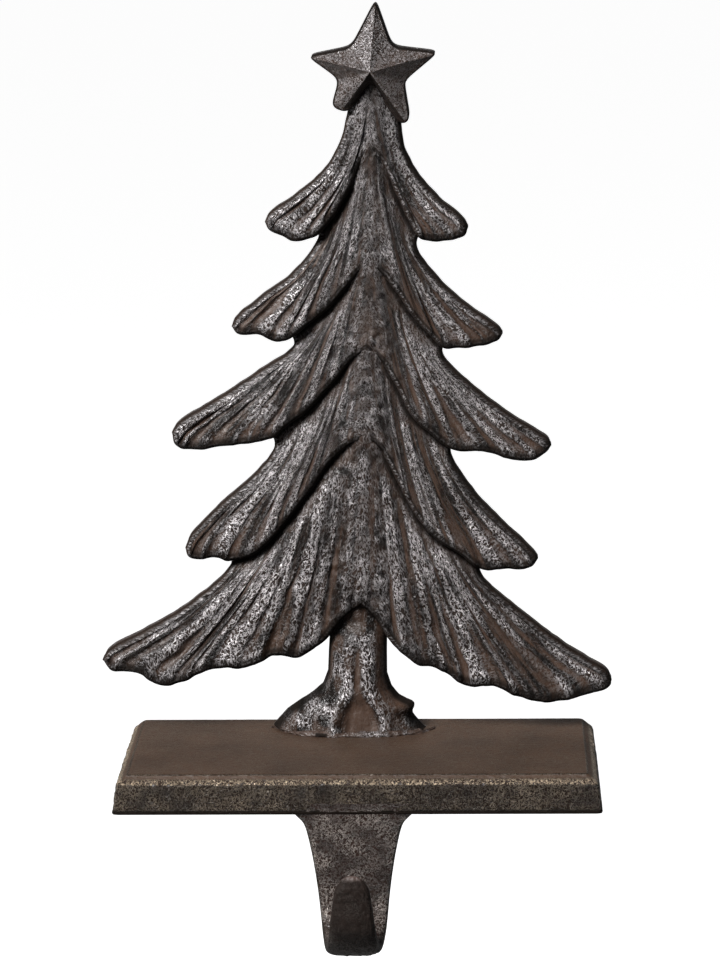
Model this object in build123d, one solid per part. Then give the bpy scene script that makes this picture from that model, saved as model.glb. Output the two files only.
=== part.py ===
# A cast-iron mantel hanger. A bevelled plate stands on the shelf, and its strap and hook hang over the edge.
# A fir tree with a star, cast lying on its flat back, stands on the plate and is welded at its foot.
# Millimetres. The origin is the centre of the plate's underside, +Z is up and -Y is the front.
import os
from collections import namedtuple
from math import atan2, cos, degrees, radians, sin

from build123d import *

# Plate
PLATE_WIDTH = 132.0
PLATE_DEPTH = 64.0
FACE_HEIGHT = 8.5
PLATE_HEIGHT = 10.4
FACE_DRAFT = 1.1
BEVEL_WIDTH = 2.8
FOOT_EASING = 0.9

# Strap and hook, hanging from the plate's front edge and curling up towards the front
STRAP_THICKNESS = 6.0
STRAP_WIDTH = 25.6
SHOULDER_RADIUS = 6.0
HOOK_DROP = 37.4
HOOK_THROAT = 15.0
HOOK_WIDTH = 14.4
TONGUE_RISE = 12.0
TONGUE_WIDTH = 10.0
TONGUE_THICKNESS = 5.0
TONGUE_TIP_WIDTH = 7.4
TONGUE_END_WIDTH = 5.2
TONGUE_END_THICKNESS = 2.5
BEND_STEP = 30
HOOK_EASING = 1.0

# Tree, drawn on its flat back: x across, y up from the plate, z out of the back towards the front.
# Its forms start a little behind the back and are cut off flat together.
TREE_SETBACK = 8.0
TREE_BACK = PLATE_DEPTH / 2 - TREE_SETBACK
TREE_SIDE = -0.9
TREE_LEAN = 1.8
BACK_SPARE = 1.0
SPINE_DEPTH = 8.0
SHINGLE_STEP = 2.0
TIP_DEPTH = 6.5
TIP_RADIUS = 2.6
COVERED = 10.0
NECK_TOP = 182.0
V_BOW = 1.8
V_LOBES = 3
LOBE_ROUNDNESS = 0.09
GOUGE_DEPTH = 1.7
GOUGE_FULLNESS = 0.56
GOUGE_NOSE = 0.6
GOUGE_LIFT = 0.25
GOUGE_START = 0.12
GOUGE_RUN_OUT = 1.12
GOUGE_SIDES = 10

# A bough runs from its shoulder past a point on its upper edge to the centre of its round tip.
# Its lower edge comes back through the cusps between lobes, and the last cusp is the notch above the next tier.
Bough = namedtuple("Bough", "shoulder belly tip cusps")
# A tier is a pair of boughs that part below the vee, whose point is this high on the spine.
Tier = namedtuple("Tier", "vee left right")

TIERS = [
    Tier(163.0,
         Bough((-6.5, 170.0), (-15.0, 154.8), (-25.9, 142.6), [(-20.4, 138.9), (-13.8, 137.9)]),
         Bough((7.5, 169.0), (15.4, 153.7), (24.5, 142.3), [(19.6, 138.6), (12.8, 137.0)])),
    Tier(131.5,
         Bough((-12.6, 139.4), (-24.0, 126.2), (-34.6, 113.7), [(-28.4, 110.9), (-19.6, 108.8)]),
         Bough((11.6, 138.4), (22.0, 125.4), (34.7, 113.4), [(28.0, 109.5), (20.4, 107.6)])),
    Tier(107.0,
         Bough((-18.0, 110.6), (-33.0, 98.3), (-50.3, 81.7), [(-41.5, 79.6), (-32.0, 81.0), (-24.2, 80.6)]),
         Bough((19.4, 109.6), (33.7, 94.9), (48.7, 81.8), [(40.0, 78.9), (31.4, 80.8), (23.7, 80.2)])),
    Tier(82.5,
         Bough((-23.4, 82.8), (-34.0, 68.7), (-46.2, 50.7), [(-40.0, 48.4), (-36.2, 46.6)]),
         Bough((22.6, 82.4), (32.8, 66.1), (46.0, 50.4), [(38.8, 47.7), (32.4, 46.6)])),
    Tier(38.0,
         Bough((-35.0, 48.6), (-47.6, 34.9), (-69.6, 18.0), [(-61.0, 14.6), (-43.0, 16.2), (-32.0, 18.0),
                                                            (-21.6, 21.5), (-10.0, 25.2)]),
         Bough((31.2, 48.6), (46.0, 33.8), (67.9, 16.9), [(57.0, 10.6), (43.6, 11.8), (32.0, 14.4),
                                                          (20.4, 19.1), (9.4, 24.2)])),
]

# Trunk, as cuts across it: height, left edge, right edge and how far it stands out of the back
TRUNK_CUTS = [(44.0, -8.0, 7.0, 7.5), (22.0, -8.9, 7.4, 9.0), (14.0, -9.4, 8.4, 10.0),
              (8.5, -14.6, 12.0, 11.2), (4.5, -20.0, 16.6, 12.0), (-3.0, -25.0, 20.5, 12.6)]
TRUNK_WALL = 0.4
# Flutes down the trunk: where each starts and ends across it, and how wide it ends
FLUTES = [(-1.0, -1.0, 6.0), (-6.4, -16.0, 3.6), (5.4, 13.0, 3.2)]
FLUTE_TOP = 24.0
FLUTE_LIFT = 0.5
FLUTE_DEPTH = 1.8
ROOT_KNOB = (14.9, 4.8, 6.5)
ROOT_KNOB_RADIUS = 3.6

# Small lumps with flat facets, as steep as this and this share of their radius high above and below
NUB_SIDES = 9
NUB_SLOPE = 44
NUB_RISE = 0.62

# Star
STAR_CENTRE = 186.0
STAR_RADIUS = 17.4
STAR_WAIST = 9.0
STAR_RIM = 8.0
STAR_PEAK = 14.5

# Weld bead along the front of the trunk's foot
BEAD_RADIUS = 5.6
BEAD_UNEVEN = 0.14
BEAD_RIPPLE = 2.1
BEAD_PITCH = 6.4
BEAD_SINK = 0.4
BEAD_SETBACK = 2.0
BEAD_WRAP = 5.0
BEAD_LEFT = -21.0
BEAD_RIGHT = 16.0


def slab(low_width, low_front, high_width, high_front, low, high):
    """A slab from one height to another, with a plain back and the other three sides leaning in."""
    back = PLATE_DEPTH / 2
    outlines = []
    for width, front, height in ((low_width, low_front, low), (high_width, high_front, high)):
        middle = (back + front) / 2
        outlines.append(Pos(0, middle, height) * Rectangle(width, back - front))
    return loft(outlines, ruled=True)


def plate():
    """The plate: drafted front and ends, then a bevel up to the flat panel."""
    front = -PLATE_DEPTH / 2
    face_width = PLATE_WIDTH - 2 * FACE_DRAFT
    panel_width = face_width - 2 * BEVEL_WIDTH
    face_front = front + FACE_DRAFT
    body = slab(PLATE_WIDTH, front, face_width, face_front, 0, FACE_HEIGHT)
    bevel = slab(face_width, face_front, panel_width, face_front + BEVEL_WIDTH, FACE_HEIGHT, PLATE_HEIGHT)
    ends = body.edges().filter_by(Axis.Y).group_by(Axis.Z)[0]
    return chamfer(ends, FOOT_EASING) + bevel


def shoulders():
    """The top of the strap, flared into the plate by a round shoulder at each side."""
    half = STRAP_WIDTH / 2
    reach = SHOULDER_RADIUS
    diagonal = reach * (1 - cos(radians(45)))
    outline = [Line((-half - reach, 0), (half + reach, 0)), Line((-half, -reach), (half, -reach))]
    for side in (-1, 1):
        shoulder = (side * (half + reach), 0)
        bend = (side * (half + diagonal), -diagonal)
        outline.append(ThreePointArc(shoulder, bend, (side * half, -reach)))
    back = -PLATE_DEPTH / 2 + STRAP_THICKNESS
    body = extrude(Plane((0, back, 0), x_dir=(1, 0, 0), z_dir=(0, -1, 0)) * make_face(outline), STRAP_THICKNESS)
    return chamfer(body.edges().filter_by(GeomType.CIRCLE), HOOK_EASING)


def hook_section(width, thickness, forward, height, turn):
    """A cut across the hook, square to its run, which has turned this many degrees from straight down."""
    run = (0, -sin(radians(turn)), -cos(radians(turn)))
    bar = Rectangle(width, thickness)
    return Plane((0, forward, height), x_dir=(1, 0, 0), z_dir=run) * chamfer(bar.vertices(), HOOK_EASING)


def hook():
    """The strap below its shoulders, the bend and the tongue: straight runs either side of a smooth loft."""
    front = -PLATE_DEPTH / 2
    inner = HOOK_THROAT / 2
    bend_forward = front - inner
    bend_height = -HOOK_DROP + STRAP_THICKNESS + inner
    straight = -SHOULDER_RADIUS - bend_height
    curved = (inner + STRAP_THICKNESS / 2) * radians(90)
    bend_width = STRAP_WIDTH + (HOOK_WIDTH - STRAP_WIDTH) * straight / (straight + curved)
    bend = []
    for turn in range(0, 181, BEND_STEP):
        share = turn / 90
        if share <= 1:
            thickness = STRAP_THICKNESS
            width = bend_width + (HOOK_WIDTH - bend_width) * share
        else:
            thickness = STRAP_THICKNESS + (TONGUE_THICKNESS - STRAP_THICKNESS) * (share - 1)
            width = HOOK_WIDTH + (TONGUE_WIDTH - HOOK_WIDTH) * (share - 1)
        radius = inner + thickness / 2
        forward = bend_forward + radius * cos(radians(turn))
        height = bend_height - radius * sin(radians(turn))
        bend.append(hook_section(width, thickness, forward, height, turn))
    neck = hook_section(STRAP_WIDTH, STRAP_THICKNESS, front + STRAP_THICKNESS / 2, -SHOULDER_RADIUS, 0)
    forward = bend_forward - inner - TONGUE_THICKNESS / 2
    tip = bend_height + TONGUE_RISE
    crown = hook_section(TONGUE_TIP_WIDTH, TONGUE_THICKNESS, forward, tip - TONGUE_THICKNESS / 2, 180)
    end = hook_section(TONGUE_END_WIDTH, TONGUE_END_THICKNESS, forward, tip, 180)
    strap = loft([neck, bend[0]], ruled=True)
    tongue = loft([bend[-1], crown], ruled=True) + loft([crown, end], ruled=True)
    return shoulders() + strap + loft(bend) + tongue


def along(start, end, share):
    """The point this share of the way from start to end."""
    return tuple(a + (b - a) * share for a, b in zip(start, end))


def tip_points(bough):
    """The three points of a bough's round tip: above, outermost and below."""
    heading = (Vector(*bough.tip) - Vector(*bough.belly)).normalized()
    side = 1 if bough.tip[0] > 0 else -1
    upward = Vector(-heading.Y, heading.X) * side
    centre = Vector(*bough.tip)
    return [centre + upward * TIP_RADIUS, centre + heading * TIP_RADIUS, centre - upward * TIP_RADIUS]


def vee_points(tier, bough):
    """The cusps up the inner edge of a bough, from its notch to the point of the vee."""
    notch = bough.cusps[-1]
    apex = (0, tier.vee)
    points = []
    for step in range(1, V_LOBES + 1):
        share = step / V_LOBES
        across, up = along(notch, apex, share)
        points.append((across, up - V_BOW * 4 * share * (1 - share)))
    return points


def lobe_ends(tier, bough):
    """Every cusp of a bough's lower edge, from the tip to the spine."""
    below_tip = tip_points(bough)[2]
    return [(below_tip.X, below_tip.Y)] + bough.cusps + vee_points(tier, bough)


def lobe_middle(start, end):
    """The lowest point of the lobe between two cusps."""
    side = 1 if start[0] > 0 else -1
    chord = Vector(*end) - Vector(*start)
    outward = Vector(-chord.Y, chord.X).normalized() * side
    return Vector(*along(start, end, 0.5)) + outward * chord.length * LOBE_ROUNDNESS


def bough_outline(tier, bough, top):
    """The edges of one bough, from the top of the tier's spine round to the point of the vee."""
    above, outermost, below = tip_points(bough)
    edges = [
        Line(top, bough.shoulder),
        ThreePointArc(bough.shoulder, bough.belly, above),
        ThreePointArc(above, outermost, below),
    ]
    ends = lobe_ends(tier, bough)
    for start, end in zip(ends, ends[1:]):
        edges.append(ThreePointArc(start, lobe_middle(start, end), end))
    return edges


def front_plane(tier, upper, bough):
    """The front of a bough: a plane through its spine, above and at the vee, and its tip."""
    spine_top = Vector(0, upper, SPINE_DEPTH)
    spine_low = Vector(0, tier.vee, SPINE_DEPTH + SHINGLE_STEP)
    tip = Vector(*bough.tip, TIP_DEPTH)
    normal = (spine_low - spine_top).cross(tip - spine_top).normalized()
    return Plane(spine_top, z_dir=normal if normal.Z > 0 else -normal)


def depth_at(plane, point):
    """How far a front plane stands out of the tree's back at a point of the pattern."""
    offset = Vector(*point) - Vector(plane.origin.X, plane.origin.Y)
    slope = plane.z_dir.X * offset.X + plane.z_dir.Y * offset.Y
    return plane.origin.Z - slope / plane.z_dir.Z


def gouge(inner, outer, narrow, wide):
    """One long cut as a many-sided cone, narrow at its inner end."""
    axis = outer - inner
    nose = Plane(inner, x_dir=(0, 0, 1), z_dir=axis) * RegularPolygon(narrow, GOUGE_SIDES)
    flare = degrees(atan2(wide - narrow, axis.length))
    return extrude(nose, axis.length, taper=-flare)


def gouges(tier, upper, bough, front):
    """The cuts that fan from the spine and deepen towards each lobe of a bough."""
    ends = lobe_ends(tier, bough)
    count = len(ends) - 1
    middle_spine = (0, (upper + tier.vee) / 2)
    cuts = []
    for number, (start, end) in enumerate(zip(ends, ends[1:])):
        lobe = along(start, end, 0.5)
        radius = GOUGE_FULLNESS * (Vector(*end) - Vector(*start)).length
        hub = along(bough.shoulder, middle_spine, (number + 0.5) / count)
        origin = along(hub, lobe, GOUGE_START)
        beyond = along(origin, lobe, GOUGE_RUN_OUT)
        inner = Vector(*origin, depth_at(front, origin) + GOUGE_NOSE + GOUGE_LIFT)
        outer = Vector(*beyond, depth_at(front, beyond) + radius - GOUGE_DEPTH)
        cuts.append(gouge(inner, outer, GOUGE_NOSE, radius))
    return cuts


def tier_solid(tier, upper):
    """One tier of two boughs: a prism of its outline under a gable, with its gouges cut."""
    top = (0, upper + COVERED)
    left = bough_outline(tier, tier.left, top)
    right = bough_outline(tier, tier.right, top)
    body = Pos(0, 0, -BACK_SPARE) * extrude(make_face(left + right), 2 * SPINE_DEPTH)
    for bough in (tier.left, tier.right):
        front = front_plane(tier, upper, bough)
        body = split(body, bisect_by=front, keep=Keep.BOTTOM)
    for bough in (tier.left, tier.right):
        front = front_plane(tier, upper, bough)
        for cut in gouges(tier, upper, bough, front):
            body -= cut
    return body


def nub(radius):
    """A small lump of metal with flat facets that close in above and below."""
    return extrude(RegularPolygon(radius, NUB_SIDES), NUB_RISE * radius, both=True, taper=NUB_SLOPE)


def trunk():
    """The trunk and its spreading roots, with three flutes and a knob on the right root."""
    cuts = []
    for height, left, right, depth in TRUNK_CUTS:
        wall = depth * TRUNK_WALL
        outline = [
            Line((left, -BACK_SPARE), (left, wall)),
            ThreePointArc((left, wall), ((left + right) / 2, depth), (right, wall)),
            Line((right, wall), (right, -BACK_SPARE)),
            Line((right, -BACK_SPARE), (left, -BACK_SPARE)),
        ]
        cuts.append(Plane((0, height, 0), x_dir=(1, 0, 0), z_dir=(0, -1, 0)) * make_face(outline))
    body = loft(cuts)
    low = TRUNK_CUTS[-1]
    for start, end, width in FLUTES:
        inner = Vector(start, FLUTE_TOP, TRUNK_CUTS[1][3] + FLUTE_LIFT)
        outer = Vector(end, low[0], low[3] + width - FLUTE_DEPTH)
        body -= gouge(inner, outer, GOUGE_NOSE, width)
    return body + Pos(*ROOT_KNOB) * nub(ROOT_KNOB_RADIUS)


def star():
    """The star: a thick five-pointed body with ten facets that rise to one peak."""
    rim = []
    for step in range(10):
        radius = STAR_RADIUS if step % 2 == 0 else STAR_WAIST
        turn = radians(90 + 36 * step)
        rim.append(Vector(radius * cos(turn), STAR_CENTRE + radius * sin(turn), STAR_RIM))
    peak = Vector(0, STAR_CENTRE, STAR_PEAK)
    base = Face(Wire.make_polygon(rim, close=True))
    facets = [base]
    for start, end in zip(rim, rim[1:] + rim[:1]):
        facets.append(Face(Wire.make_polygon([start, end, peak], close=True)))
    roof = Solid(Shell(facets))
    return extrude(base, STAR_RIM + BACK_SPARE, dir=(0, 0, -1)) + roof


def stand(pattern):
    """A form of the tree, cut flat at its back, stood on the plate with its slight lean."""
    cast = split(pattern, bisect_by=Plane.XY, keep=Keep.TOP)
    stood = Plane((TREE_SIDE, TREE_BACK, PLATE_HEIGHT), x_dir=(1, 0, 0), z_dir=(0, -1, 0)) * cast
    leaning = stood.rotate(Axis((TREE_SIDE, 0, PLATE_HEIGHT), (0, 1, 0)), TREE_LEAN)
    return split(leaning, bisect_by=Plane((0, 0, PLATE_HEIGHT)), keep=Keep.TOP)


def tree_casting():
    """The tree and star in one casting, built up from the trunk so that each tier overlaps the one below."""
    body = trunk()
    uppers = [NECK_TOP] + [tier.vee for tier in TIERS[:-1]]
    for tier, upper in reversed(list(zip(TIERS, uppers))):
        body += tier_solid(tier, upper)
    return stand(body + star())


def weld_bead():
    """The weld: a row of lumps along and round the trunk's foot, shaped to the trunk and the plate."""
    foot = stand(trunk())
    plate_top = Plane((0, 0, PLATE_HEIGHT))
    front = TREE_BACK - TRUNK_CUTS[-1][3] + BEAD_SETBACK
    middle = (BEAD_LEFT + BEAD_RIGHT) / 2
    half = (BEAD_RIGHT - BEAD_LEFT) / 2
    count = round(2 * half / BEAD_PITCH)
    bead = None
    for number in range(count + 1):
        share = 2 * number / count - 1
        radius = BEAD_RADIUS * (1 + BEAD_UNEVEN * sin(BEAD_RIPPLE * number))
        place = Pos(middle + half * share, front + BEAD_WRAP * abs(share) ** 3, PLATE_HEIGHT - BEAD_SINK)
        lump = split(place * nub(radius), bisect_by=plate_top, keep=Keep.TOP) - foot
        bead = lump if bead is None else bead + lump
    return bead


os.makedirs("parts", exist_ok=True)
shelf = plate() + hook()
tree = tree_casting()
weld = weld_bead()
export_step(shelf, "parts/shelf_casting.step")
export_step(tree, "parts/tree_casting.step")
export_step(weld, "parts/weld_bead.step")
for name, shape in (("shelf_casting", shelf), ("tree_casting", tree), ("weld_bead", weld)):
    print(name, len(shape.solids()), "solids", round(shape.volume / 1000, 1), "cm3", shape.is_valid)
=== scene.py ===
# %% [markdown]
# # A cast-iron mantel hanger, dressed from its CAD frame
#
# The real thing is two sand castings. A heavy plate sits on a shelf and its hook hangs over the edge, and
# a fir tree with a star stands on the plate, welded at its foot. Both are under one coat of brown lacquer.
# Sand casting leaves two kinds of skin: a coarse grain where the sand was rough, and smooth places where
# the pattern was polished, such as the floor of each gouge. This script rebuilds both kinds of skin.
#
# The CAD model is loaded first and fixes every size. Each new surface is worked out in millimetres with
# numpy, put into a mesh in metres, and stands for the CAD node that it replaces.

from math import radians

import bpy
import numpy as np
from mathutils import Matrix


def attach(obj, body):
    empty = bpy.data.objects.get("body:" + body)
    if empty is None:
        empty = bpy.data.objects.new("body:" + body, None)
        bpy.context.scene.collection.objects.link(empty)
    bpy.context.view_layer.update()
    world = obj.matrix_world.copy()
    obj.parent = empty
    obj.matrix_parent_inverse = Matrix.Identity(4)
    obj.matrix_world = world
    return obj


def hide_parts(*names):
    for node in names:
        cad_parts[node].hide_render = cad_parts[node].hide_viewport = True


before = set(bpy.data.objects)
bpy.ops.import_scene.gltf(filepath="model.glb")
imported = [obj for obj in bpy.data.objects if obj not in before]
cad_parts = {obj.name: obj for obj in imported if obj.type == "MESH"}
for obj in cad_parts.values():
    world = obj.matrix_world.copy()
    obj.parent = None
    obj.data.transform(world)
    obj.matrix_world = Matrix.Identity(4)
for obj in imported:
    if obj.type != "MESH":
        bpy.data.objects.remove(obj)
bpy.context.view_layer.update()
print("CAD nodes:", sorted(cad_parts))

# %% [markdown]
# ## Camera
#
# The photograph was taken from far away with a long lens, a little above the plate. The camera's place was
# worked out from the plate's corners, whose real positions the CAD model gives. A camera could also be
# aimed with a Track To constraint, but a plain matrix of its right, up and backward directions says the
# same thing with nothing left to update.

# %% Camera
PHOTO_WIDTH = 720
FOCAL_PIXELS = 4070.0
SENSOR_WIDTH = 36.0
CAMERA_PLACE = np.array([34.43, -1085.95, 297.97])
YAW, PITCH, ROLL = radians(1.770), radians(11.072), radians(-0.637)


def camera_axes(yaw, pitch, roll):
    """Right, up and backward unit vectors: a level view turned by yaw, tipped by pitch, then rolled."""
    level = np.array([-np.sin(yaw), np.cos(yaw), 0.0])
    right = np.array([np.cos(yaw), np.sin(yaw), 0.0])
    rise = np.array([0.0, 0.0, 1.0])
    forward = level * np.cos(pitch) - rise * np.sin(pitch)
    up = level * np.sin(pitch) + rise * np.cos(pitch)
    rolled_right = right * np.cos(roll) + up * np.sin(roll)
    rolled_up = -right * np.sin(roll) + up * np.cos(roll)
    return rolled_right, rolled_up, -forward


camera = bpy.data.objects.new("camera", bpy.data.cameras.new("camera"))
bpy.context.scene.collection.objects.link(camera)
bpy.context.scene.camera = camera
camera.data.sensor_fit = "HORIZONTAL"
camera.data.sensor_width = SENSOR_WIDTH
camera.data.lens = SENSOR_WIDTH * FOCAL_PIXELS / PHOTO_WIDTH
camera.data.clip_start = 0.05
camera.data.clip_end = 20.0
placed = np.eye(4)
placed[:3, :3] = np.column_stack(camera_axes(YAW, PITCH, ROLL))
placed[:3, 3] = CAMERA_PLACE / 1000
camera.matrix_world = Matrix(placed.tolist())
print("lens", round(camera.data.lens, 1), "mm")

# %% [markdown]
# ## From arrays to a mesh
#
# Every new piece ends as two arrays: points, and faces that name their points by number. The first helper
# puts them into a mesh. It also stores what the material needs to know at each point: how smooth the skin
# is, its share of painted shade, its share of wear and painted highlight, and where its grain is read. A
# painted image could say the same, but it would need a UV map and be less sharp than the surface. Edges
# that turn by more than 62 degrees stay sharp.
#
# The second helper joins a stack of closed rings into a skin with both ends closed, which suits the trunk,
# the star, the plate, the hook and the weld.

# %% Mesh helpers
MM = 0.001
SHARP_ANGLE = radians(62)


def make_piece(name, points, faces, node, smooth, shade_share, wear_and_highlight, grain_place=None):
    """A mesh object from points in millimetres, with what its material reads stored at each point.

    Smooth, painted shade, and wear with painted highlight are shares from 0 to 1. The grain is read at the
    points themselves, unless other places are given that stretch it."""
    mesh = bpy.data.meshes.new(name)
    mesh.from_pydata((np.asarray(points) * MM).tolist(), [], faces)
    # The painted shade and painted highlight are stored here as shares, for the material to turn into
    # colour.
    for key, values in (("smooth_skin", smooth), ("painted_shade_skin", shade_share), ("wear_and_highlight_skin", wear_and_highlight)):
        shares = np.broadcast_to(np.asarray(values, dtype=np.float32).reshape(-1), (len(points),))
        stored = mesh.attributes.new(key, "FLOAT", "POINT")
        stored.data.foreach_set("value", np.ascontiguousarray(shares))
    weave = np.asarray(points if grain_place is None else grain_place, dtype=np.float32)
    stored = mesh.attributes.new("grain_place", "FLOAT_VECTOR", "POINT")
    stored.data.foreach_set("vector", weave.reshape(-1))
    mesh.validate()
    mesh.shade_smooth()
    mesh.set_sharp_from_angle(angle=SHARP_ANGLE)
    piece = bpy.data.objects.new(name, mesh)
    bpy.context.scene.collection.objects.link(piece)
    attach(piece, "root")
    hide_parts(node)
    span = np.round(np.ptp(points, axis=0), 1).tolist()
    print(name, len(mesh.vertices), "points", len(mesh.polygons), "faces", span, "mm")
    return piece


def ring_faces(rings, around):
    """Quads between neighbouring rings of a stack, each closed on itself, and one face on each end."""
    row = np.arange(rings - 1)[:, None] * around
    here = np.arange(around)[None, :]
    after = (here + 1) % around
    quads = np.stack([row + here, row + after, row + around + after, row + around + here], axis=-1)
    faces = quads.reshape(-1, 4).tolist()
    faces.append(list(range(around))[::-1])
    faces.append(list(range((rings - 1) * around, rings * around)))
    return faces


print("3 rings of 4 points have", len(ring_faces(3, 4)), "faces")

# %% [markdown]
# ## Random grit
#
# Sand leaves no edge straight and no face flat. The grit is random values on a square lattice, blended
# smoothly between its corners. Blender's Displace modifier could do that too, but here the relief has to
# know where the gouges are, so it is worked out with them. Each use has a seed of its own, so that every
# run gives the same casting.

# %% Grit
LATTICE = 128


def smooth_step(t):
    """0 below 0, 1 above 1, and the curve 3tt - 2ttt between."""
    t = np.clip(t, 0.0, 1.0)
    return t * t * (3.0 - 2.0 * t)


def grit(across, up, grain, seed):
    """Smooth random relief from -1 to 1: lattice values grain mm apart, blended with the smooth step."""
    values = np.random.default_rng(seed).uniform(-1.0, 1.0, (LATTICE, LATTICE))
    a, b = np.asarray(across) / grain, np.asarray(up) / grain
    i, j = np.floor(a).astype(int), np.floor(b).astype(int)
    s, t = smooth_step(a - i), smooth_step(b - j)
    i_next, j_next = (i + 1) % LATTICE, (j + 1) % LATTICE
    i, j = i % LATTICE, j % LATTICE
    low = values[i, j] * (1 - s) + values[i_next, j] * s
    high = values[i, j_next] * (1 - s) + values[i_next, j_next] * s
    return low * (1 - t) + high * t


print("grit at three places", np.round(grit([0.0, 0.5, 1.0], [0.0, 0.0, 0.0], 1.0, 1), 2))

# %% [markdown]
# ## Smooth outlines
#
# Each outline is known at about a dozen corners. A smooth curve goes through them, and its points are then
# spaced evenly by length, because crowded rows would show as bands in the relief. Blender's own curves
# could be converted to meshes, but then the net of a bough would have to be read back from them.

# %% Curves
SPLINE_STEPS = 40


def evenly(curve, count):
    """Points evenly spaced by length along a fine polyline."""
    length = np.concatenate([[0], np.cumsum(np.linalg.norm(np.diff(curve, axis=0), axis=1))])
    wanted = np.linspace(0, length[-1], count)
    return np.column_stack([np.interp(wanted, length, curve[:, k]) for k in range(curve.shape[1])])


def resample(corners, count):
    """This many points, evenly spaced by length, along a smooth curve through the corners.

    The curve is a Catmull-Rom spline: between two corners it is the cubic whose slope at each is half the
    step from the corner before to the corner after."""
    p = np.asarray(corners, dtype=float)
    padded = np.vstack([2 * p[0] - p[1], p, 2 * p[-1] - p[-2]])
    t = np.linspace(0, len(p) - 1, SPLINE_STEPS * len(p))
    k = np.minimum(t.astype(int), len(p) - 2)
    f = (t - k)[:, None]
    a, b, c, d = padded[k], padded[k + 1], padded[k + 2], padded[k + 3]
    square = 2 * a - 5 * b + 4 * c - d
    cube = 3 * b - a - 3 * c + d
    return evenly(0.5 * (2 * b + (c - a) * f + square * f ** 2 + cube * f ** 3), count)


print("five points round a corner", np.round(resample([(0, 0), (10, 0), (10, 10)], 5), 1).tolist())

# %% [markdown]
# ## Where the tree stands
#
# The tree was cast lying on its flat back, so it is easiest to model that way: x across, y up from the
# plate and depth out of the back. One function stands such points on the plate, with the slight lean that
# the real tree got when it was welded.

# %% Stand the tree
PLATE_HEIGHT = 10.4
TREE_BACK = 24.0
TREE_SIDE = -0.9
TREE_LEAN = radians(1.8)


def stand(across, up, depth):
    """World millimetres: the pattern is turned upright, leaned to the right and set back on the plate."""
    x = TREE_SIDE + across * np.cos(TREE_LEAN) + up * np.sin(TREE_LEAN)
    z = PLATE_HEIGHT - across * np.sin(TREE_LEAN) + up * np.cos(TREE_LEAN)
    return np.stack([x, TREE_BACK - depth, z], axis=-1)


print("the back of the tree's foot is at", np.round(stand(0.0, 0.0, 0.0), 1).tolist(), "mm")
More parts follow.
